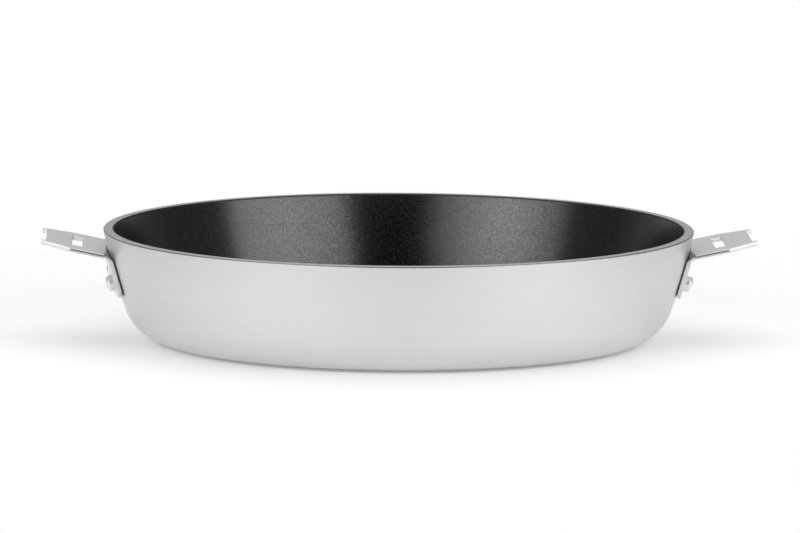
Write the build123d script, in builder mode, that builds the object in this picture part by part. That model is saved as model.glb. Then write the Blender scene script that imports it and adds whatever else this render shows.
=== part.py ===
from build123d import *
import math
import os

# Frying pan with two riveted side brackets, in millimetres.
# The origin is the middle of the underside, +Z is up, and the brackets point along -X and +X.

# Pan body
RIM_RADIUS = 140.0
PAN_HEIGHT = 52.2
RIM_LEAN = 11.6            # lean of the wall from upright at the rim, in degrees
WALL_CURVE_RADIUS = 293.0  # the wall bows outward a little between rim and base
BASE_CORNER_RADIUS = 21.3  # outer radius between base and wall
WALL_THICKNESS = 4.3
BASE_THICKNESS = 4.8
RIM_EDGE_RADIUS = 0.5

# Non-stick lining, drawn thicker than the real film
COATING_THICKNESS = 0.3

# Side brackets, each one bent plate
SHEET_THICKNESS = 2.0
TANG_RISE = 11.8           # upward slope of the tang, in degrees
TANG_HEIGHT = 43.2         # height of the tang's top face straight below the rim
TANG_HALF_WIDTH = 28.5
TANG_TIP_HALF_WIDTH = 22.6
TANG_TAPER_START = 155.0   # distance from the pan's axis, as for the next two
TANG_TIP = 169.0
SLOT_START = 149.5
SLOT_WIDTH = 5.0
SLOT_LENGTH = 32.0
SLOT_CORNER_RADIUS = 0.6
PRONG_LENGTH = 2.3
PRONG_TIP_WIDTH = 2.5
PRONG_ROOT_WIDTH = 4.0
LEG_END_HEIGHT = 22.0      # height of the leg's lower edge
LEG_CURVE_RADIUS = 170.0   # flatter than the wall, so the plate stands clear at its sides
LEG_CORNER_RADIUS = 4.0
OUTER_BEND_RADIUS = 1.2    # on the side of the bend that faces the wall
INNER_BEND_RADIUS = 2.6
BEND_FACET_START = 6.0     # towards its ends the bend opens into a flat facet, from here outward
BEND_FACET_ON_TANG = 3.8   # how far the facet reaches from the fold at its end, along the tang
BEND_FACET_ON_LEG = 2.9    # the same, down the leg
SHEET_EDGE_RADIUS = 0.4

# Rivets, two to a bracket
RIVET_HEIGHT = 29.4
RIVET_HALF_SPACING = 20.0
RIVET_SHANK_RADIUS = 2.4
RIVET_HEAD_RADIUS = 3.7
RIVET_HEAD_HEIGHT = 3.4
RIVET_SKIRT_HEIGHT = 2.4   # straight side of the head below its low dome
RIVET_HEAD_EDGE_RADIUS = 0.9
INNER_HEAD_RADIUS = 5.0
INNER_HEAD_HEIGHT = 1.1
INNER_HEAD_EDGE_RADIUS = 0.6

# Centre of the arc that the wall follows in section, as a radius and a height
ARC_CENTRE_RADIUS = RIM_RADIUS - WALL_CURVE_RADIUS * math.cos(math.radians(RIM_LEAN))
ARC_CENTRE_HEIGHT = PAN_HEIGHT + WALL_CURVE_RADIUS * math.sin(math.radians(RIM_LEAN))


def wall_radius(height, inset=0.0):
    """Radius of the wall at a height, on the outer face or a face set in from it."""
    drop = ARC_CENTRE_HEIGHT - height
    return ARC_CENTRE_RADIUS + math.sqrt((WALL_CURVE_RADIUS - inset) ** 2 - drop**2)


def wall_lean(height):
    """Lean of the outer face from upright at a height, in degrees."""
    return math.degrees(math.asin((ARC_CENTRE_HEIGHT - height) / WALL_CURVE_RADIUS))


def bowl_section(inset, floor):
    """Half section of the bowl: flat floor, rounded corner and bowed wall up to the rim."""
    foot = wall_radius(floor, inset)
    rim = wall_radius(PAN_HEIGHT, inset)
    middle = (floor + PAN_HEIGHT) / 2
    with BuildSketch(Plane.XZ) as section:
        with BuildLine():
            Line((0, floor), (foot, floor))
            ThreePointArc((foot, floor), (wall_radius(middle, inset), middle), (rim, PAN_HEIGHT))
            Polyline((rim, PAN_HEIGHT), (0, PAN_HEIGHT), (0, floor))
        make_face()
        corner = section.vertices().group_by(Axis.Y)[0].sort_by(Axis.X)[-1]
        fillet(corner, BASE_CORNER_RADIUS - inset)
    return section.sketch


# Directions at the rivets: square to the wall, and up along it
RIVET_LEAN = wall_lean(RIVET_HEIGHT)
WALL_POINT = Vector(wall_radius(RIVET_HEIGHT), 0, RIVET_HEIGHT)
WALL_NORMAL = Vector(1, 0, 0).rotate(Axis.Y, RIVET_LEAN)
UP_WALL = Vector(0, 0, 1).rotate(Axis.Y, RIVET_LEAN)

# The wall's curve in a cut square to it, and the plate's clearance from it at the rivets
WALL_CROSS_RADIUS = WALL_POINT.X / math.cos(math.radians(RIVET_LEAN))
LEG_CLEARANCE = RIVET_HALF_SPACING**2 / 2 * (1 / WALL_CROSS_RADIUS - 1 / LEG_CURVE_RADIUS)

# The cut across the leg, with local X outward, and the tang's top face, with local X up the slope
LEG_PLANE = Plane(origin=WALL_POINT, x_dir=WALL_NORMAL, z_dir=UP_WALL)
TANG_PLANE = Plane(
    origin=(RIM_RADIUS, 0, TANG_HEIGHT),
    x_dir=Vector(1, 0, 0).rotate(Axis.Y, -TANG_RISE),
    z_dir=Vector(0, 0, 1).rotate(Axis.Y, -TANG_RISE),
)


def along_tang(distance):
    """Local X on the tang's plane for a distance from the pan's axis."""
    return (distance - RIM_RADIUS) / math.cos(math.radians(TANG_RISE))


def fold_point(offset):
    """Where the leg's inner face would meet the tang's top face, at a distance from the middle."""
    sag = LEG_CURVE_RADIUS - math.sqrt(LEG_CURVE_RADIUS**2 - offset**2)
    foot = WALL_POINT - WALL_NORMAL * sag + Vector(0, offset, 0)
    rise = TANG_PLANE.z_dir.dot(TANG_PLANE.origin - foot) / TANG_PLANE.z_dir.dot(UP_WALL)
    return foot + UP_WALL * rise


def bend_facet(side):
    """Plane of the facet at one end of the bend, facing away from the plate."""
    start = fold_point(side * BEND_FACET_START)
    end = fold_point(side * TANG_HALF_WIDTH)
    along_top = end + TANG_PLANE.x_dir * BEND_FACET_ON_TANG - start
    along_leg = end - UP_WALL * BEND_FACET_ON_LEG - start
    return Plane(origin=start, x_dir=along_top, z_dir=along_top.cross(along_leg) * side)


def build_rivet(side):
    """One rivet of the right bracket through plate, wall and lining: side -1 is the front one."""
    azimuth = side * math.degrees(math.asin(RIVET_HALF_SPACING / WALL_POINT.X))
    origin = WALL_POINT.rotate(Axis.Z, azimuth)
    across = Vector(0, 1, 0).rotate(Axis.Z, azimuth)
    outward = WALL_NORMAL.rotate(Axis.Z, azimuth)
    seat = LEG_CLEARANCE + SHEET_THICKNESS
    inner_seat = -(WALL_THICKNESS + COATING_THICKNESS)
    inner_end = inner_seat - INNER_HEAD_HEIGHT
    with BuildPart() as rivet:
        with BuildSketch(Plane(origin=origin, x_dir=across, z_dir=across.cross(outward))) as section:
            with BuildLine():
                crown = (0, seat + RIVET_HEAD_HEIGHT)
                crown_edge = (RIVET_HEAD_RADIUS, seat + RIVET_SKIRT_HEIGHT)
                TangentArc(crown, crown_edge, tangent=(1, 0))
                Polyline(
                    crown_edge,
                    (RIVET_HEAD_RADIUS, seat),
                    (RIVET_SHANK_RADIUS, seat),
                    (RIVET_SHANK_RADIUS, inner_seat),
                    (INNER_HEAD_RADIUS, inner_seat),
                    (INNER_HEAD_RADIUS, inner_end),
                    (0, inner_end),
                    crown,
                )
            make_face()
            fillet(section.vertices().sort_by_distance(crown_edge)[0], RIVET_HEAD_EDGE_RADIUS)
            inner_edge = section.vertices().sort_by_distance((INNER_HEAD_RADIUS, inner_end))[0]
            fillet(inner_edge, INNER_HEAD_EDGE_RADIUS)
        revolve(axis=Axis(origin, outward))
    return rivet.part


# Rivets: their shapes also cut the holes and seats in the pieces that they join
rivets = {"right_front_rivet": build_rivet(-1), "right_rear_rivet": build_rivet(1)}
right_rivets = list(rivets.values())
rivets["left_front_rivet"] = rivets["right_front_rivet"].mirror(Plane.YZ)
rivets["left_rear_rivet"] = rivets["right_rear_rivet"].mirror(Plane.YZ)
for name, rivet in rivets.items():
    rivet.label = name

# Pan body: a bowl with a flat ground rim
with BuildPart() as pan_body:
    add(bowl_section(0, 0))
    revolve(axis=Axis.Z)
    add(bowl_section(WALL_THICKNESS, BASE_THICKNESS))
    revolve(axis=Axis.Z, mode=Mode.SUBTRACT)
    fillet(pan_body.edges().group_by(Axis.Z)[-1].sort_by(SortBy.RADIUS)[-1], RIM_EDGE_RADIUS)
    add(rivets.values(), mode=Mode.SUBTRACT)
pan_body.part.label = "pan_body"

# Non-stick lining: a skin on the whole inside, flush with the rim
with BuildPart() as nonstick_coating:
    add(bowl_section(WALL_THICKNESS, BASE_THICKNESS))
    revolve(axis=Axis.Z)
    add(bowl_section(WALL_THICKNESS + COATING_THICKNESS, BASE_THICKNESS + COATING_THICKNESS))
    revolve(axis=Axis.Z, mode=Mode.SUBTRACT)
    add(rivets.values(), mode=Mode.SUBTRACT)
nonstick_coating.part.label = "nonstick_coating"

# Right bracket
with BuildPart() as right_bracket:
    # The flat tang, with its forked tip and its slot
    with BuildSketch(TANG_PLANE):
        root = along_tang(WALL_POINT.X)
        taper = along_tang(TANG_TAPER_START)
        tip = along_tang(TANG_TIP)
        notch = along_tang(TANG_TIP - PRONG_LENGTH)
        with BuildLine():
            rear_outline = Polyline(
                (root, 0),
                (root, TANG_HALF_WIDTH),
                (taper, TANG_HALF_WIDTH),
                (tip, TANG_TIP_HALF_WIDTH),
                (tip, TANG_TIP_HALF_WIDTH - PRONG_TIP_WIDTH),
                (notch, TANG_TIP_HALF_WIDTH - PRONG_ROOT_WIDTH),
                (notch, 0),
            )
            mirror(rear_outline, about=Plane.XZ)
        make_face()
        with Locations((along_tang(SLOT_START + SLOT_WIDTH / 2), 0)):
            RectangleRounded(SLOT_WIDTH, SLOT_LENGTH, SLOT_CORNER_RADIUS, mode=Mode.SUBTRACT)
    extrude(amount=-SHEET_THICKNESS)

    # The tang ends at the inner face of the curved leg
    with BuildSketch(LEG_PLANE):
        with Locations((-LEG_CURVE_RADIUS, 0)):
            Circle(LEG_CURVE_RADIUS)
    extrude(amount=PAN_HEIGHT, both=True, mode=Mode.SUBTRACT)

    # The leg, curved to lie along the wall, and cut off level with the tang's top face
    with BuildSketch(LEG_PLANE.offset((LEG_END_HEIGHT - RIVET_HEIGHT) / UP_WALL.Z)):
        with Locations((-LEG_CURVE_RADIUS, 0)):
            Circle(LEG_CURVE_RADIUS + SHEET_THICKNESS)
            Circle(LEG_CURVE_RADIUS, mode=Mode.SUBTRACT)
        Rectangle(LEG_CORNER_RADIUS * 4, TANG_HALF_WIDTH * 2, mode=Mode.INTERSECT)
    extrude(amount=PAN_HEIGHT)
    split(bisect_by=TANG_PLANE, keep=Keep.BOTTOM)

    # Round the leg's lower corners, the bend and the plate's edges, and open the bend at its ends
    lower_corners = right_bracket.edges().filter_by(Axis(WALL_POINT, WALL_NORMAL)).group_by(Axis.Z)[0]
    fillet(lower_corners, LEG_CORNER_RADIUS)
    fillet(right_bracket.edges().filter_by(GeomType.ELLIPSE).sort_by(Axis.Z)[0], INNER_BEND_RADIUS)
    fillet(right_bracket.edges().filter_by(GeomType.ELLIPSE)[0], OUTER_BEND_RADIUS)
    broad_faces = right_bracket.faces().sort_by(SortBy.AREA)[-6:]
    plate_edges = [
        edge for edge in right_bracket.edges() if sum(edge in face.edges() for face in broad_faces) == 1
    ]
    fillet(plate_edges, SHEET_EDGE_RADIUS)
    for side in (-1, 1):
        split(bisect_by=bend_facet(side), keep=Keep.BOTTOM)
    add(right_rivets, mode=Mode.SUBTRACT)
right_bracket.part.label = "right_bracket"

# Left bracket: the right one, mirrored
with BuildPart() as left_bracket:
    mirror(right_bracket.part, about=Plane.YZ)
left_bracket.part.label = "left_bracket"

pieces = [pan_body.part, nonstick_coating.part, left_bracket.part, right_bracket.part]
pieces.extend(rivets.values())
os.makedirs("parts", exist_ok=True)
for piece in pieces:
    export_step(piece, f"parts/{piece.label}.step")
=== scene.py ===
"""Looks of a frying pan with two riveted brackets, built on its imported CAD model, in metres."""

import math

import bmesh
import bpy
from bpy.props import FloatProperty, FloatVectorProperty, PointerProperty
from bpy.types import Operator, Panel, PropertyGroup
from mathutils import Matrix, Vector

bl_info = {
    "name": "Frying pan finish",
    "version": (1, 0, 0),
    "blender": (4, 5, 0),
    "location": "3D View > Sidebar > Frying pan",
    "description": "Finishes, studio and camera for a frying pan with two riveted brackets",
    "category": "Object",
}

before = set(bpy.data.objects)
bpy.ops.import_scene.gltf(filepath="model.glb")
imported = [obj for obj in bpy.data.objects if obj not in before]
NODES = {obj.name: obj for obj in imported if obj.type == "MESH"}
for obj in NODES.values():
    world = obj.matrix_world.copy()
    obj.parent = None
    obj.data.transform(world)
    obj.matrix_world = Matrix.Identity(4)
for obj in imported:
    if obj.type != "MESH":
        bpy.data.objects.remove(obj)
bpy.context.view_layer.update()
BRACKETS = ("left_bracket", "right_bracket")
RIVETS = ("left_front_rivet", "left_rear_rivet", "right_front_rivet", "right_rear_rivet")

# A pair of numbers is a fade: it starts at the first and is over at the second.
# On the pan they are metres, from the middle of its underside.

FOOT_HEIGHT = (0.0006, 0.0019)  # ring on the foot, darker partly from wear and partly as painted contact shade, up from the floor
FOOT_RADIUS = (0.1095, 0.1118)
LINING_TOP = (0.0513, 0.0517)  # bare edge of the lining
TAPER = (0.1548, 0.1552)  # outwards to where the tang narrows
TANG_SIDE = (0.024, 0.025)  # from the tang's middle to its straight edges
SLOT_FAR_SIDE = (0.005, 0.006)  # from the tang's middle to the far end of its slot
TANG_REACH = (0.14, 0.16)  # two places on the tang's upper face, outwards
TANG_HEIGHT = 0.0432  # height of that face at the first place
TANG_RISE = math.radians(11.8)
SHEAR_START = (0.0004, 0.0006)  # sheared line in the cut edge, darkened partly as painted shade, down from the upper face
SHEAR_END = (0.001, 0.0012)

# Depths of fine relief, in metres, and how deep a scratch is as a part of it

LINING_RELIEF = 0.000008
BRACKET_RELIEF = 0.000004
SCRATCH_DEPTH = 0.5
RIVET_SCRATCH_DEPTH = 0.1

# How much finishes vary: the least tone, and the most that is added to the roughness

LEAST_TURNED_TONE = 0.975
LEAST_SMUDGED_TONE = 0.985
LEAST_BRACKET_TONE = 0.965
LEAST_RIVET_TONE = 0.94
TURNED_SPREAD = 0.015
LINING_SPREAD = 0.01
BARE_EDGE_ROUGHNESS = 0.35
BRACKET_SMUDGE_ROUGHNESS = 0.03
RIVET_SMUDGE_ROUGHNESS = 0.06

# Cells of the lining, by the random number from 0 to 1 that each one has

FLAKE_CELLS = (0.3, 1.0)  # from the dullest flake to the brightest
DULLEST_FLAKE = 0.24
METAL_CELLS = (0.12, 0.36)  # from plain film to plain metal
DULLEST_SPARKLE = 0.6

# How far a surface faces one way, as a part of its normal

# The flat rim is darkened partly for its ground finish and partly as painted shade.
RIM_LIES_FLAT = (0.9, 0.98)
# The rim's rounded edge is darkened as painted shade.
RIM_EDGE_LEANS = (0.0, 0.2)
CUT_EDGE_FACES_OUT = (0.45, 0.8)
SLOT_WALL_FACES_FRONT = (-0.8, -0.5)
# Facing range of the bend, which gets painted shade.
BEND_STARTS, BEND_ENDS = (0.3, 0.5), (0.8, 0.93)

# What metal shows of the studio, as a part of the direction it looks in

BACKDROP_ACROSS = (-0.3, 0.3)  # left to right
BACKDROP_LEFT, BACKDROP_RIGHT = 1.08, 0.75
BACKDROP_TOP, ABOVE_BACKDROP = (0.3, 0.6), 0.4
BACKDROP_SIDE, ASIDE_OF_BACKDROP = (0.4, 0.8), 0.5
BACKDROP_BEHIND = (0.0, 0.65)  # front to back
SIDES_BESIDE = (-0.35, -0.1)
CARD_IN_FRONT = (-0.4, -0.7)
CARD_BOTTOM, CARD_TOP = (0.06, 0.14), (0.22, 0.29)
FLOOR_UNDER, FLOOR_BRIGHTNESS = (-0.7, -0.45), 0.8

# Lamps and camera

SIDE_ELEVATION = math.radians(19.0)
SIDE_DISTANCE = 1.9
LEFT_SIZE = (2.2, 1.2)
RIGHT_SIZE = (1.85, 1.2)
TOP_ELEVATION = math.radians(80.0)
TOP_DISTANCE = 1.6
TOP_SIZE = (3.3, 2.5)
LAMP_TARGET = Vector((0.0, 0.0, 0.03))
FLOOR_DROP = 0.0002  # gap between the pan and the floor, so that the two faces don't meet
SENSOR_WIDTH = 36.0


# Node graphs


class Graph:
    """Shorthand for adding nodes to a tree and joining their sockets."""

    def __init__(self, tree):
        self.tree = tree

    def feed(self, socket, value):
        """Gives a socket a constant or another node's output."""
        if isinstance(value, bpy.types.NodeSocket):
            self.tree.links.new(value, socket)
        else:
            socket.default_value = value

    def plug(self, node, **sockets):
        """Feeds a node's inputs by name, with an underscore for each space."""
        for name, value in sockets.items():
            self.feed(node.inputs[name.replace("_", " ")], value)
        return node

    def add(self, kind, **sockets):
        """A new node with its inputs fed."""
        return self.plug(self.tree.nodes.new(kind), **sockets)

    def place(self, group, **sockets):
        """A node group placed with its own values."""
        node = self.tree.nodes.new("ShaderNodeGroup")
        node.node_tree = group
        return self.plug(node, **sockets).outputs

    def math(self, operation, *values):
        node = self.tree.nodes.new("ShaderNodeMath")
        node.operation = operation
        for socket, value in zip(node.inputs, values):
            self.feed(socket, value)
        return node.outputs[0]

    def times(self, *factors):
        """The product of its factors."""
        product = factors[0]
        for factor in factors[1:]:
            product = self.math("MULTIPLY", product, factor)
        return product

    def without(self, mask):
        """The rest of the surface, where a mask is 0."""
        return self.math("SUBTRACT", 1.0, mask)

    def vector(self, operation, *values):
        node = self.tree.nodes.new("ShaderNodeVectorMath")
        node.operation = operation
        for socket, value in zip(node.inputs, values):
            self.feed(socket, value)
        return node.outputs["Value" if operation == "LENGTH" else "Vector"]

    def scaled(self, vector, factor):
        """A colour or a vector times one number."""
        result = self.vector("SCALE", vector)
        self.feed(result.node.inputs["Scale"], factor)
        return result

    def remap(self, value, low, high, to_low=0.0, to_high=1.0, smooth=False):
        """A value taken from the range low to high into the range to_low to to_high, held at its ends."""
        node = self.tree.nodes.new("ShaderNodeMapRange")
        node.interpolation_type = "SMOOTHSTEP" if smooth else "LINEAR"
        names = ("Value", "From Min", "From Max", "To Min", "To Max")
        for name, number in zip(names, (value, low, high, to_low, to_high)):
            self.feed(node.inputs[name], number)
        return node.outputs[0]

    def band(self, value, start, end, smooth=False):
        """A mask that fades in over one range of a value and out over another."""
        return self.times(
            self.remap(value, *start, smooth=smooth), self.remap(value, *end, 1.0, 0.0, smooth=smooth)
        )

    def shade(self, tone, mask, share):
        """A tone brought to a share of itself where a mask is 1."""
        return self.times(tone, self.remap(mask, 0.0, 1.0, 1.0, share))

    def blend(self, factor, first, second):
        """Two colours blended by a factor."""
        node = self.tree.nodes.new("ShaderNodeMix")
        node.data_type = "RGBA"
        self.feed(node.inputs[0], factor)
        self.feed(node.inputs[6], first)
        self.feed(node.inputs[7], second)
        return node.outputs[2]

    def noise(self, vector, scale, detail=2.0, roughness=0.5):
        node = self.add(
            "ShaderNodeTexNoise", Vector=vector, Scale=scale, Detail=detail, Roughness=roughness
        )
        return node.outputs["Fac"]

    def split(self, vector):
        return self.add("ShaderNodeSeparateXYZ", Vector=vector).outputs

    def join(self, x, y, z):
        return self.add("ShaderNodeCombineXYZ", X=x, Y=y, Z=z).outputs[0]

    def facing(self):
        """The three parts of the surface's normal on the piece."""
        return self.split(self.add("ShaderNodeTexCoord").outputs["Normal"])

    def relief(self, distance, height):
        """A normal bent by a height."""
        return self.add("ShaderNodeBump", Strength=1.0, Distance=distance, Height=height).outputs[0]


def new_group(name, inputs, outputs):
    """An empty node group with named sockets, its graph, and the nodes at its two ends."""
    tree = bpy.data.node_groups.new(name, "ShaderNodeTree")
    for label, kind, default in inputs:
        socket = tree.interface.new_socket(label, in_out="INPUT", socket_type=kind)
        if default is not None:
            socket.default_value = default
    for label, kind in outputs:
        tree.interface.new_socket(label, in_out="OUTPUT", socket_type=kind)
    graph = Graph(tree)
    return graph, graph.add("NodeGroupInput").outputs, graph.add("NodeGroupOutput").inputs


def metal_grain_group():
    """Fine parallel lines left by a turning tool or a brush, square to Z, over wider and softer ones."""
    name = "Metal grain"
    wide_density, wide_height = 0.17, 0.4
    if name in bpy.data.node_groups:
        return bpy.data.node_groups[name]
    graph, given, result = new_group(
        name,
        (
            ("Vector", "NodeSocketVector", None),
            ("Pitch", "NodeSocketFloat", 0.0003),
            ("Streak Length", "NodeSocketFloat", 0.03),
        ),
        (("Height", "NodeSocketFloat"), ("Tone", "NodeSocketFloat")),
    )
    along = graph.math("DIVIDE", 1.0, given["Streak Length"])
    across = graph.math("DIVIDE", 1.0, given["Pitch"])
    x, y, z = graph.split(given["Vector"])
    x, y = graph.times(x, along), graph.times(y, along)
    fine = graph.noise(graph.join(x, y, graph.times(z, across)), 1.0, 3.0, 0.6)
    wide_across = graph.times(across, wide_density)
    wide = graph.noise(graph.join(x, y, graph.times(z, wide_across)), 1.0, 2.0, 0.5)
    graph.feed(result["Height"], graph.math("ADD", graph.times(wide, wide_height), fine))
    graph.feed(result["Tone"], graph.remap(wide, 0.3, 0.7))
    return graph.tree


def handling_group():
    """Marks of use: soft smudges, and sparse hairline scratches."""
    name = "Handling marks"
    scratch_turns, scratch_width = (0.4, 1.5, 2.6), 0.012
    if name in bpy.data.node_groups:
        return bpy.data.node_groups[name]
    graph, given, result = new_group(
        name,
        (("Vector", "NodeSocketVector", None), ("Size", "NodeSocketFloat", 0.03)),
        (("Smudge", "NodeSocketFloat"), ("Scratch", "NodeSocketFloat")),
    )
    density = graph.math("DIVIDE", 1.0, given["Size"])
    smudge = graph.noise(given["Vector"], density, 4.0, 0.55)
    graph.feed(result["Smudge"], graph.remap(smudge, 0.35, 0.68, smooth=True))
    lines = []
    for turn in scratch_turns:
        turned = graph.add(
            "ShaderNodeMapping",
            Vector=given["Vector"],
            Rotation=(0.3, turn, turn * 1.7),
            Scale=(9.0, 1.0, 5.0),
        ).outputs[0]
        contour = graph.math("ABSOLUTE", graph.math("SUBTRACT", graph.noise(turned, density, 0.0), 0.5))
        lines.append(graph.remap(contour, 0.0, scratch_width, 1.0, 0.0))
    patch = graph.remap(graph.noise(given["Vector"], graph.times(density, 2.3), 1.0), 0.52, 0.6)
    any_line = graph.math("MAXIMUM", graph.math("MAXIMUM", lines[0], lines[1]), lines[2])
    graph.feed(result["Scratch"], graph.times(any_line, patch))
    return graph.tree


def new_material(name):
    """A material with one Principled BSDF, its graph, and its Object coordinates."""
    material = bpy.data.materials.new(name)
    material.use_nodes = True
    graph = Graph(material.node_tree)
    shader = material.node_tree.nodes["Principled BSDF"]
    place = graph.add("ShaderNodeTexCoord").outputs["Object"]
    return material, graph, shader, place


def dress(node, material):
    """Gives a CAD node its finished material."""
    for slot in NODES[node].material_slots:
        slot.material = material


# Settings


class BodyFinish(PropertyGroup):
    """The turned aluminium of the pan body."""

    metal: FloatVectorProperty(
        name="Metal",
        description="Reflected colour of the aluminium",
        subtype="COLOR",
        default=(0.78, 0.78, 0.782),
        min=0.0,
        max=1.0,
    )
    roughness: FloatProperty(
        name="Roughness", description="How satin the wall is", default=0.46, min=0.0, max=1.0
    )
    brushing: FloatProperty(
        name="Brushing",
        description="How far highlights are drawn out across the turned lines",
        default=0.38,
        min=0.0,
        max=1.0,
    )
    # Partly the ground finish of the flat rim, partly painted shade for the dimmer reflection it shows.
    rim_tone_and_shade: FloatProperty(
        name="Rim tone",
        description="Brightness of the flat ground rim against the rest of the metal",
        default=0.64,
        min=0.0,
        max=1.0,
    )
    # Painted shade: darkens the rim's rounded outer edge, in place of the dark reflection it shows.
    edge_shade_tone: FloatProperty(
        name="Edge tone",
        description="Brightness of the rim's outer edge against the rest of the metal",
        default=0.3,
        min=0.0,
        max=1.0,
    )
    # Partly wear, partly painted contact shade on the ring the pan stands on.
    foot_wear_and_shade: FloatProperty(
        name="Foot tone",
        description="Brightness of the worn ring that the pan stands on against the rest of the metal",
        default=0.5,
        min=0.0,
        max=1.0,
    )
    pitch: FloatProperty(
        name="Line pitch",
        description="Distance between turned lines",
        default=0.00028,
        unit="LENGTH",
        precision=5,
    )
    depth: FloatProperty(
        name="Line depth",
        description="Depth of the turned lines",
        default=0.000004,
        unit="LENGTH",
        precision=6,
    )


class LiningFinish(PropertyGroup):
    """The non-stick lining."""

    film: FloatVectorProperty(
        name="Film",
        description="Colour of the lining",
        subtype="COLOR",
        default=(0.001, 0.001, 0.001),
        min=0.0,
        max=1.0,
    )
    flake: FloatVectorProperty(
        name="Flake",
        description="Colour of the metallic flakes in the lining",
        subtype="COLOR",
        default=(0.117, 0.1155, 0.1155),
        min=0.0,
        max=1.0,
    )
    flake_size: FloatProperty(
        name="Flake size",
        description="Width of the cells that hold one flake each",
        default=0.00025,
        unit="LENGTH",
        precision=5,
    )
    sparkle: FloatProperty(
        name="Sparkle",
        description="How far the flakes lean out of the surface",
        default=0.05,
        min=0.0,
        max=1.0,
    )
    shine: FloatProperty(
        name="Shine",
        description="How strongly the film between the flakes mirrors",
        default=0.72,
        min=0.0,
        max=1.0,
    )
    roughness: FloatProperty(
        name="Roughness", description="How dull the lining is", default=0.2, min=0.0, max=1.0
    )


class BracketFinish(PropertyGroup):
    """The stainless sheet of the brackets."""

    metal: FloatVectorProperty(
        name="Metal",
        description="Reflected colour of the sheet",
        subtype="COLOR",
        default=(0.79, 0.785, 0.78),
        min=0.0,
        max=1.0,
    )
    roughness: FloatProperty(
        name="Roughness", description="How satin the sheet is", default=0.34, min=0.0, max=1.0
    )
    edge_roughness: FloatProperty(
        name="Edge roughness",
        description="How satin the cut edges are after tumbling",
        default=0.3,
        min=0.0,
        max=1.0,
    )
    torn_roughness: FloatProperty(
        name="Torn roughness",
        description="How satin the leg's edges and the punched openings are, where tumbling doesn't reach",
        default=0.65,
        min=0.0,
        max=1.0,
    )
    # Partly the duller cut edge, partly painted shade that dims the tang's cut edges.
    edge_shade_tone: FloatProperty(
        name="Edge tone",
        description="Brightness of the tang's cut edges against the faces of the sheet",
        default=0.9,
        min=0.0,
        max=1.0,
    )
    # Painted shade: darkens the bend's surface, in place of the dark reflection of the wall it faces.
    bend_shade: FloatProperty(
        name="Bend tone",
        description="Brightness of the stretched skin of the bend against the faces of the sheet",
        default=0.55,
        min=0.0,
        max=1.0,
    )
    # Partly the sheared line of the cut, partly painted shade for the dark reflection of the straight edges.
    shear_line_and_shade: FloatProperty(
        name="Shear tone",
        description="Brightness of the sheared line in the straight cut edges against the faces of the sheet",
        default=0.25,
        min=0.0,
        max=1.0,
    )
    # Painted light: brightens the slot's far wall, which lies in shade inside the slot.
    slot_painted_light: FloatProperty(
        name="Slot tone",
        description="Brightness of the slot's far wall against the faces of the sheet",
        default=1.25,
        min=0.0,
        max=2.0,
    )


class RivetFinish(PropertyGroup):
    """The aluminium rivets."""

    metal: FloatVectorProperty(
        name="Metal",
        description="Reflected colour of the rivets",
        subtype="COLOR",
        default=(0.91, 0.91, 0.91),
        min=0.0,
        max=1.0,
    )
    roughness: FloatProperty(
        name="Roughness", description="How satin the heads are", default=0.38, min=0.0, max=1.0
    )
    dents: FloatProperty(
        name="Dents",
        description="Depth of the marks left by setting the rivets",
        default=0.00003,
        unit="LENGTH",
        precision=6,
    )


class Studio(PropertyGroup):
    """Floor, lamps and background."""

    floor: FloatVectorProperty(
        name="Floor",
        description="Colour of the floor",
        subtype="COLOR",
        default=(0.9, 0.9, 0.9),
        min=0.0,
        max=1.0,
    )
    floor_radius: FloatProperty(
        name="Floor radius", description="Radius of the round floor", default=0.36, unit="LENGTH"
    )
    floor_glow: FloatProperty(
        name="Floor glow",
        description="White added to the floor as the camera sees it",
        default=0.22,
        min=0.0,
        max=1.0,
    )
    floor_glow_on_metal: FloatProperty(
        name="Floor glow on metal",
        description="White added to the floor as metal shows it",
        default=0.2,
        min=0.0,
        max=1.0,
    )
    left_power: FloatProperty(
        name="Left lamp", description="Power of the left softbox", default=4.0, unit="POWER"
    )
    right_power: FloatProperty(
        name="Right lamp", description="Power of the right softbox", default=7.2, unit="POWER"
    )
    left_spread: FloatProperty(
        name="Left spread",
        description="Angle of the left softbox's beam. A narrow beam dims the lamp towards its sides",
        default=math.radians(71.0),
        subtype="ANGLE",
    )
    right_spread: FloatProperty(
        name="Right spread",
        description="Angle of the right softbox's beam",
        default=math.radians(110.0),
        subtype="ANGLE",
    )
    left_angle: FloatProperty(
        name="Left angle",
        description="Angle of the left softbox from the camera, seen from above",
        default=math.radians(45.5),
        subtype="ANGLE",
    )
    right_angle: FloatProperty(
        name="Right angle",
        description="Angle of the right softbox from the camera, seen from above",
        default=math.radians(51.5),
        subtype="ANGLE",
    )
    top_power: FloatProperty(
        name="Top lamp", description="Power of the overhead softbox", default=27.0, unit="POWER"
    )
    backdrop: FloatProperty(
        name="Backdrop", description="Brightness behind the pan as metal shows it", default=0.68
    )
    sides: FloatProperty(
        name="Sides",
        description="Brightness to the left and right of the pan as metal shows it",
        default=0.16,
    )
    fill: FloatProperty(
        name="Fill",
        description="Brightness of a low card behind the camera as metal shows it",
        default=0.25,
    )
    room: FloatProperty(
        name="Room", description="Brightness of the room behind the camera", default=0.01
    )


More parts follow.
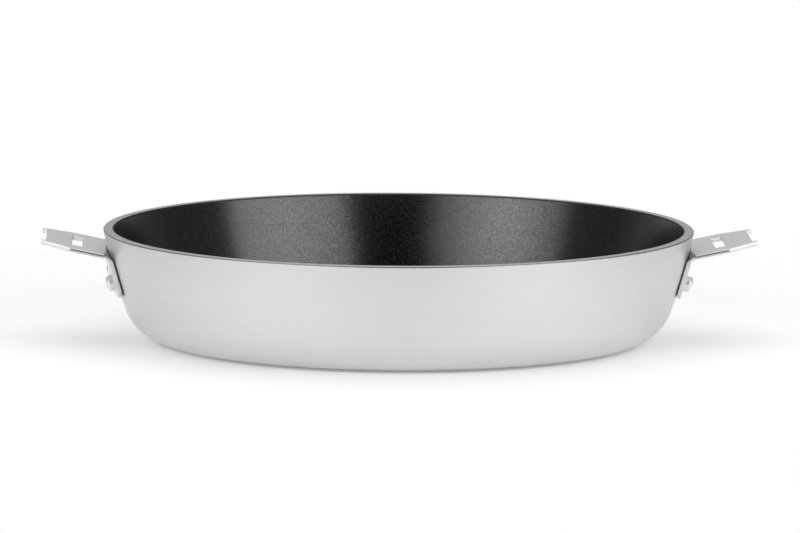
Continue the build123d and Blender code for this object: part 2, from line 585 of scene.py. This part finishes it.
class PhotoView(PropertyGroup):
    """The camera of the main view."""

    distance: FloatProperty(
        name="Distance", description="Distance from the pan", default=3.25, unit="LENGTH"
    )
    azimuth: FloatProperty(
        name="Azimuth",
        description="Angle round the pan from its front, towards the left bracket",
        default=math.radians(1.8),
        subtype="ANGLE",
    )
    elevation: FloatProperty(
        name="Elevation",
        description="Angle above the horizon",
        default=math.radians(7.719),
        subtype="ANGLE",
    )
    roll: FloatProperty(
        name="Roll",
        description="Turn of the camera about its own axis",
        default=math.radians(0.343),
        subtype="ANGLE",
    )
    target_height: FloatProperty(
        name="Target height",
        description="Height of the point that the camera circles",
        default=0.025,
        unit="LENGTH",
    )
    lens: FloatProperty(
        name="Lens", description="Focal length", default=308.1, min=1.0, unit="CAMERA"
    )
    aim_up: FloatProperty(
        name="Aim up", description="How far above the target the lens points", default=0.0088, unit="LENGTH"
    )
    aim_right: FloatProperty(
        name="Aim right",
        description="How far to the right of the target the lens points",
        default=0.0008,
        unit="LENGTH",
    )


# Operators


class PAN_OT_finish_body(Operator):
    """Finish the pan body in turned aluminium"""

    bl_idname = "pan.finish_body"
    bl_label = "Pan body"

    def execute(self, context):
        look = context.scene.body_finish
        material, graph, shader, place = new_material("turned_aluminium")
        x, y, z = graph.split(place)
        radius = graph.vector("LENGTH", graph.join(x, y, 0.0))
        turned = graph.join(x, y, graph.math("ADD", z, radius))
        grain = graph.place(metal_grain_group(), Vector=turned, Pitch=look.pitch, Streak_Length=0.03)
        marks = graph.place(handling_group(), Vector=place, Size=0.05)
        tone = graph.remap(grain["Tone"], 0.0, 1.0, LEAST_TURNED_TONE, 1.0)
        tone = graph.shade(tone, marks["Smudge"], LEAST_SMUDGED_TONE)
        up = graph.facing()[2]
        ground = graph.remap(up, *RIM_LIES_FLAT)
        edge = graph.math("SUBTRACT", graph.remap(up, *RIM_EDGE_LEANS), ground)
        # Flat rim: partly its ground finish, partly painted shade for its dimmer reflection.
        tone = graph.shade(tone, ground, look.rim_tone_and_shade)
        # Painted shade on the rim's rounded outer edge, in place of its dark reflection.
        tone = graph.shade(tone, edge, look.edge_shade_tone)
        # Ring the pan stands on: darkened partly as wear, partly as painted contact shade.
        foot = graph.times(
            graph.remap(z, *FOOT_HEIGHT, 1.0, 0.0, smooth=True),
            graph.remap(radius, *FOOT_RADIUS, smooth=True),
        )
        tone = graph.shade(tone, foot, look.foot_wear_and_shade)
        rough = graph.remap(
            grain["Tone"], 0.0, 1.0, look.roughness - TURNED_SPREAD, look.roughness + TURNED_SPREAD
        )
        height = graph.math("SUBTRACT", grain["Height"], graph.times(marks["Scratch"], SCRATCH_DEPTH))
        graph.plug(
            shader,
            Base_Color=graph.scaled((*look.metal,), tone),
            Roughness=rough,
            Normal=graph.relief(look.depth, height),
            Metallic=1.0,
            Anisotropic=look.brushing,
            Anisotropic_Rotation=0.25,
        )
        dress("pan_body", material)
        return {"FINISHED"}


class PAN_OT_finish_lining(Operator):
    """Finish the non-stick lining as a black film with metallic flakes"""

    bl_idname = "pan.finish_lining"
    bl_label = "Non-stick lining"

    def execute(self, context):
        look = context.scene.lining_finish
        material, graph, shader, place = new_material("nonstick")
        cells = graph.add("ShaderNodeTexVoronoi", Vector=place, Scale=1.0 / look.flake_size)
        red = graph.add("ShaderNodeSeparateColor", Color=cells.outputs["Color"]).outputs[0]
        bare = graph.remap(graph.split(place)[2], *LINING_TOP)
        covered = graph.without(bare)
        flake = graph.times(graph.remap(red, *FLAKE_CELLS, DULLEST_FLAKE, 1.0), covered)
        metal = graph.times(graph.remap(red, *METAL_CELLS), covered)
        wear = graph.noise(place, 25.0, 1.0)
        rough = graph.remap(
            wear, 0.3, 0.7, look.roughness - LINING_SPREAD, look.roughness + LINING_SPREAD
        )
        rough = graph.math("ADD", rough, graph.times(bare, BARE_EDGE_ROUGHNESS))
        grained = graph.relief(LINING_RELIEF, graph.noise(place, 1400.0, 3.0, 0.6))
        lean = graph.scaled(
            graph.vector("SUBTRACT", cells.outputs["Color"], (0.5, 0.5, 0.5)),
            graph.remap(flake, 0.0, 1.0, look.sparkle * DULLEST_SPARKLE, look.sparkle),
        )
        graph.plug(
            shader,
            Base_Color=graph.blend(flake, (*look.film, 1.0), (*look.flake, 1.0)),
            Metallic=metal,
            Roughness=rough,
            Normal=graph.vector("NORMALIZE", graph.vector("ADD", grained, lean)),
            Specular_IOR_Level=look.shine,
        )
        dress("nonstick_coating", material)
        return {"FINISHED"}


class PAN_OT_finish_brackets(Operator):
    """Finish both brackets in satin stainless sheet with tumbled edges"""

    bl_idname = "pan.finish_brackets"
    bl_label = "Brackets"

    def execute(self, context):
        look = context.scene.bracket_finish
        material, graph, shader, place = new_material("bracket_steel")
        x, y, z = graph.split(place)
        grain = graph.place(
            metal_grain_group(), Vector=graph.join(x, z, y), Pitch=0.0002, Streak_Length=0.012
        )
        marks = graph.place(handling_group(), Vector=place, Size=0.012)
        facing = graph.facing()
        outward = graph.math("ABSOLUTE", x)
        sideways = graph.math("ABSOLUTE", y)
        tone = graph.remap(grain["Tone"], 0.0, 1.0, LEAST_BRACKET_TONE, 1.0)

        edge = graph.remap(graph.math("ABSOLUTE", facing[1]), *CUT_EDGE_FACES_OUT, smooth=True)
        taper = graph.remap(outward, *TAPER)
        straight = graph.times(edge, graph.without(taper))
        # Tapered cut edges: dimmed partly as painted shade.
        tone = graph.shade(tone, graph.times(edge, taper), look.edge_shade_tone)

        inward = graph.times(facing[0], graph.math("SIGN", graph.times(x, -1.0)))
        # Painted shade on the bend, in place of the dark reflection of the wall.
        tone = graph.shade(tone, graph.band(inward, BEND_STARTS, BEND_ENDS), look.bend_shade)

        # Painted light on the slot's far wall, which lies in shade.
        slot = graph.times(
            graph.remap(facing[1], *SLOT_WALL_FACES_FRONT, 1.0, 0.0), graph.remap(y, *SLOT_FAR_SIDE)
        )
        tone = graph.shade(tone, slot, look.slot_painted_light)

        climb = (TANG_REACH[1] - TANG_REACH[0]) * math.tan(TANG_RISE)
        top = graph.remap(outward, *TANG_REACH, TANG_HEIGHT, TANG_HEIGHT + climb)
        # Sheared line in the straight cut edges: partly real, partly painted shade.
        sheared = graph.band(graph.math("SUBTRACT", top, z), SHEAR_START, SHEAR_END)
        sheared = graph.times(sheared, graph.remap(sideways, *TANG_SIDE), straight)
        tone = graph.shade(tone, sheared, look.shear_line_and_shade)

        rough = graph.remap(edge, 0.0, 1.0, look.roughness, look.edge_roughness)
        torn = graph.math("MAXIMUM", straight, slot)
        rough = graph.math("MAXIMUM", rough, graph.times(torn, look.torn_roughness))
        rough = graph.math("ADD", rough, graph.times(marks["Smudge"], BRACKET_SMUDGE_ROUGHNESS))
        height = graph.math("SUBTRACT", grain["Height"], graph.times(marks["Scratch"], SCRATCH_DEPTH))
        graph.plug(
            shader,
            Base_Color=graph.scaled((*look.metal,), tone),
            Roughness=rough,
            Normal=graph.relief(BRACKET_RELIEF, height),
            Metallic=1.0,
        )
        for node in BRACKETS:
            dress(node, material)
        return {"FINISHED"}


class PAN_OT_finish_rivets(Operator):
    """Finish the four rivets in satin aluminium with setting marks"""

    bl_idname = "pan.finish_rivets"
    bl_label = "Rivets"

    def execute(self, context):
        look = context.scene.rivet_finish
        material, graph, shader, place = new_material("rivet_aluminium")
        marks = graph.place(handling_group(), Vector=place, Size=0.004)
        dents = graph.noise(place, 420.0, 2.0, 0.5)
        tone = graph.remap(dents, 0.3, 0.7, LEAST_RIVET_TONE, 1.0)
        rough = graph.math("ADD", look.roughness, graph.times(marks["Smudge"], RIVET_SMUDGE_ROUGHNESS))
        height = graph.math("SUBTRACT", dents, graph.times(marks["Scratch"], RIVET_SCRATCH_DEPTH))
        graph.plug(
            shader,
            Base_Color=graph.scaled((*look.metal,), tone),
            Roughness=rough,
            Normal=graph.relief(look.dents, height),
            Metallic=1.0,
        )
        for node in RIVETS:
            dress(node, material)
        return {"FINISHED"}


class PAN_OT_build_stage(Operator):
    """Lay the floor, hang the lamps and set the background"""

    bl_idname = "pan.build_stage"
    bl_label = "Studio"

    def execute(self, context):
        studio = context.scene.studio
        self.lay_floor(studio)
        self.set_world(context.scene, studio)
        context.scene.view_settings.view_transform = "Standard"
        camera_azimuth = context.scene.photo_view.azimuth
        self.hang_softbox(
            "left_softbox",
            azimuth=camera_azimuth + studio.left_angle,
            elevation=SIDE_ELEVATION,
            distance=SIDE_DISTANCE,
            size=LEFT_SIZE,
            power=studio.left_power,
            spread=studio.left_spread,
        )
        self.hang_softbox(
            "right_softbox",
            azimuth=camera_azimuth - studio.right_angle,
            elevation=SIDE_ELEVATION,
            distance=SIDE_DISTANCE,
            size=RIGHT_SIZE,
            power=studio.right_power,
            spread=studio.right_spread,
        )
        self.hang_softbox(
            "top_softbox",
            azimuth=camera_azimuth + math.pi,
            elevation=TOP_ELEVATION,
            distance=TOP_DISTANCE,
            size=TOP_SIZE,
            power=studio.top_power,
            spread=math.pi,
        )
        return {"FINISHED"}

    def lay_floor(self, studio):
        """A round floor that keeps shadows, and lets views from below through."""
        mesh = bpy.data.meshes.new("floor")
        shape = bmesh.new()
        bmesh.ops.create_circle(shape, cap_ends=True, segments=96, radius=studio.floor_radius)
        bmesh.ops.translate(shape, verts=shape.verts, vec=(0.0, 0.0, -FLOOR_DROP))
        shape.to_mesh(mesh)
        shape.free()
        floor = bpy.data.objects.new("floor", mesh)
        bpy.context.scene.collection.objects.link(floor)

        material = bpy.data.materials.new("studio_floor")
        material.use_nodes = True
        graph = Graph(material.node_tree)
        graph.tree.nodes.clear()
        path = graph.add("ShaderNodeLightPath").outputs
        mirrored = graph.math("MAXIMUM", path["Is Glossy Ray"], path["Is Transmission Ray"])
        glow = graph.math(
            "MAXIMUM",
            graph.times(path["Is Camera Ray"], studio.floor_glow),
            graph.times(mirrored, studio.floor_glow_on_metal),
        )
        paint = graph.add("ShaderNodeBsdfDiffuse", Color=(*studio.floor, 1.0)).outputs[0]
        lit = graph.tree.nodes.new("ShaderNodeAddShader")
        graph.feed(lit.inputs[0], paint)
        graph.feed(lit.inputs[1], graph.add("ShaderNodeEmission", Strength=glow).outputs[0])
        below = graph.math(
            "MAXIMUM",
            graph.add("ShaderNodeNewGeometry").outputs["Backfacing"],
            graph.math("GREATER_THAN", path["Transparent Depth"], 0.5),
        )
        mix = graph.tree.nodes.new("ShaderNodeMixShader")
        graph.feed(mix.inputs[0], below)
        graph.feed(mix.inputs[1], lit.outputs[0])
        graph.feed(mix.inputs[2], graph.add("ShaderNodeBsdfTransparent").outputs[0])
        graph.add("ShaderNodeOutputMaterial", Surface=mix.outputs[0])
        mesh.materials.append(material)

    def set_world(self, scene, studio):
        """White to the camera. Metal shows a pale backdrop behind the pan and a dim room in front."""
        world = bpy.data.worlds.new("studio")
        world.use_nodes = True
        graph = Graph(world.node_tree)
        graph.tree.nodes.clear()
        across, back, up = graph.split(graph.add("ShaderNodeTexCoord").outputs["Generated"])
        backdrop = graph.remap(
            across, *BACKDROP_ACROSS, studio.backdrop * BACKDROP_LEFT, studio.backdrop * BACKDROP_RIGHT
        )
        above = graph.remap(up, *BACKDROP_TOP, 1.0, ABOVE_BACKDROP, smooth=True)
        aside = graph.remap(
            graph.math("ABSOLUTE", across), *BACKDROP_SIDE, 1.0, ASIDE_OF_BACKDROP, smooth=True
        )
        backdrop = graph.times(backdrop, above, aside)
        behind = graph.remap(back, *BACKDROP_BEHIND, 0.0, backdrop, smooth=True)
        beside = graph.remap(back, *SIDES_BESIDE, studio.room, studio.sides, smooth=True)
        card = graph.times(
            graph.remap(back, *CARD_IN_FRONT, 0.0, studio.fill, smooth=True),
            graph.band(up, CARD_BOTTOM, CARD_TOP, smooth=True),
        )
        below = graph.remap(up, *FLOOR_UNDER, FLOOR_BRIGHTNESS, 0.0, smooth=True)
        surroundings = graph.math("MAXIMUM", graph.math("MAXIMUM", beside, card), below)
        surroundings = graph.math("MAXIMUM", surroundings, behind)
        camera = graph.add("ShaderNodeLightPath").outputs["Is Camera Ray"]
        strength = graph.math("MAXIMUM", camera, surroundings)
        light = graph.add("ShaderNodeBackground", Color=(1.0, 1.0, 1.0, 1.0), Strength=strength)
        graph.add("ShaderNodeOutputWorld", Surface=light.outputs[0])
        scene.world = world

    def hang_softbox(self, name, azimuth, elevation, distance, size, power, spread):
        """A rectangular lamp that faces the pan and stays out of the camera's sight."""
        lamp = bpy.data.lights.new(name, "AREA")
        lamp.shape = "RECTANGLE"
        lamp.size, lamp.size_y = size
        lamp.energy = power
        lamp.spread = spread
        holder = bpy.data.objects.new(name, lamp)
        outward = Vector(
            (
                -math.sin(azimuth) * math.cos(elevation),
                -math.cos(azimuth) * math.cos(elevation),
                math.sin(elevation),
            )
        )
        holder.location = outward * distance + LAMP_TARGET
        holder.rotation_euler = outward.to_track_quat("Z", "Y").to_euler()
        holder.visible_camera = False
        bpy.context.scene.collection.objects.link(holder)


class PAN_OT_place_camera(Operator):
    """Place the camera for the main view"""

    bl_idname = "pan.place_camera"
    bl_label = "Camera"

    def execute(self, context):
        view = context.scene.photo_view
        flat = Vector((-math.sin(view.azimuth), -math.cos(view.azimuth), 0.0))
        up = Vector((0.0, 0.0, 1.0))
        back = flat * math.cos(view.elevation) + up * math.sin(view.elevation)
        level_right = up.cross(flat).normalized()
        level_up = back.cross(level_right)
        right = level_right * math.cos(view.roll) + level_up * math.sin(view.roll)
        target = Vector((0.0, 0.0, view.target_height))
        location = target + back * view.distance
        aim = target + right * view.aim_right + back.cross(right) * view.aim_up
        z_axis = (location - aim).normalized()
        x_axis = (right - z_axis * right.dot(z_axis)).normalized()
        y_axis = z_axis.cross(x_axis)
        data = bpy.data.cameras.new("camera")
        data.sensor_width = SENSOR_WIDTH
        data.lens = view.lens
        data.clip_start = 0.1
        data.clip_end = 100.0
        camera = bpy.data.objects.new("camera", data)
        turn = Matrix((x_axis, y_axis, z_axis)).transposed()
        camera.matrix_world = Matrix.Translation(location) @ turn.to_4x4()
        context.scene.collection.objects.link(camera)
        context.scene.camera = camera
        return {"FINISHED"}


# Panel


class PAN_PT_finish(Panel):
    """Frying pan tools in the sidebar"""

    bl_idname = "PAN_PT_finish"
    bl_label = "Frying pan"
    bl_space_type = "VIEW_3D"
    bl_region_type = "UI"
    bl_category = "Frying pan"

    def draw(self, context):
        for operator, settings in STEPS:
            box = self.layout.box()
            box.operator(operator.bl_idname)
            group = getattr(context.scene, settings)
            for name in group.bl_rna.properties.keys():
                if name not in ("rna_type", "name"):
                    box.prop(group, name)


STEPS = (
    (PAN_OT_place_camera, "photo_view"),
    (PAN_OT_build_stage, "studio"),
    (PAN_OT_finish_body, "body_finish"),
    (PAN_OT_finish_lining, "lining_finish"),
    (PAN_OT_finish_brackets, "bracket_finish"),
    (PAN_OT_finish_rivets, "rivet_finish"),
)
SETTINGS = {
    "photo_view": PhotoView,
    "studio": Studio,
    "body_finish": BodyFinish,
    "lining_finish": LiningFinish,
    "bracket_finish": BracketFinish,
    "rivet_finish": RivetFinish,
}


def register():
    for name, group in SETTINGS.items():
        bpy.utils.register_class(group)
        setattr(bpy.types.Scene, name, PointerProperty(type=group))
    for operator, _ in STEPS:
        bpy.utils.register_class(operator)
    bpy.utils.register_class(PAN_PT_finish)


def unregister():
    bpy.utils.unregister_class(PAN_PT_finish)
    for operator, _ in reversed(STEPS):
        bpy.utils.unregister_class(operator)
    for name, group in reversed(SETTINGS.items()):
        delattr(bpy.types.Scene, name)
        bpy.utils.unregister_class(group)


def main():
    """Builds the whole scene."""
    register()
    bpy.ops.pan.place_camera()
    bpy.ops.pan.build_stage()
    bpy.ops.pan.finish_body()
    bpy.ops.pan.finish_lining()
    bpy.ops.pan.finish_brackets()
    bpy.ops.pan.finish_rivets()


if __name__ == "__main__":
    main()
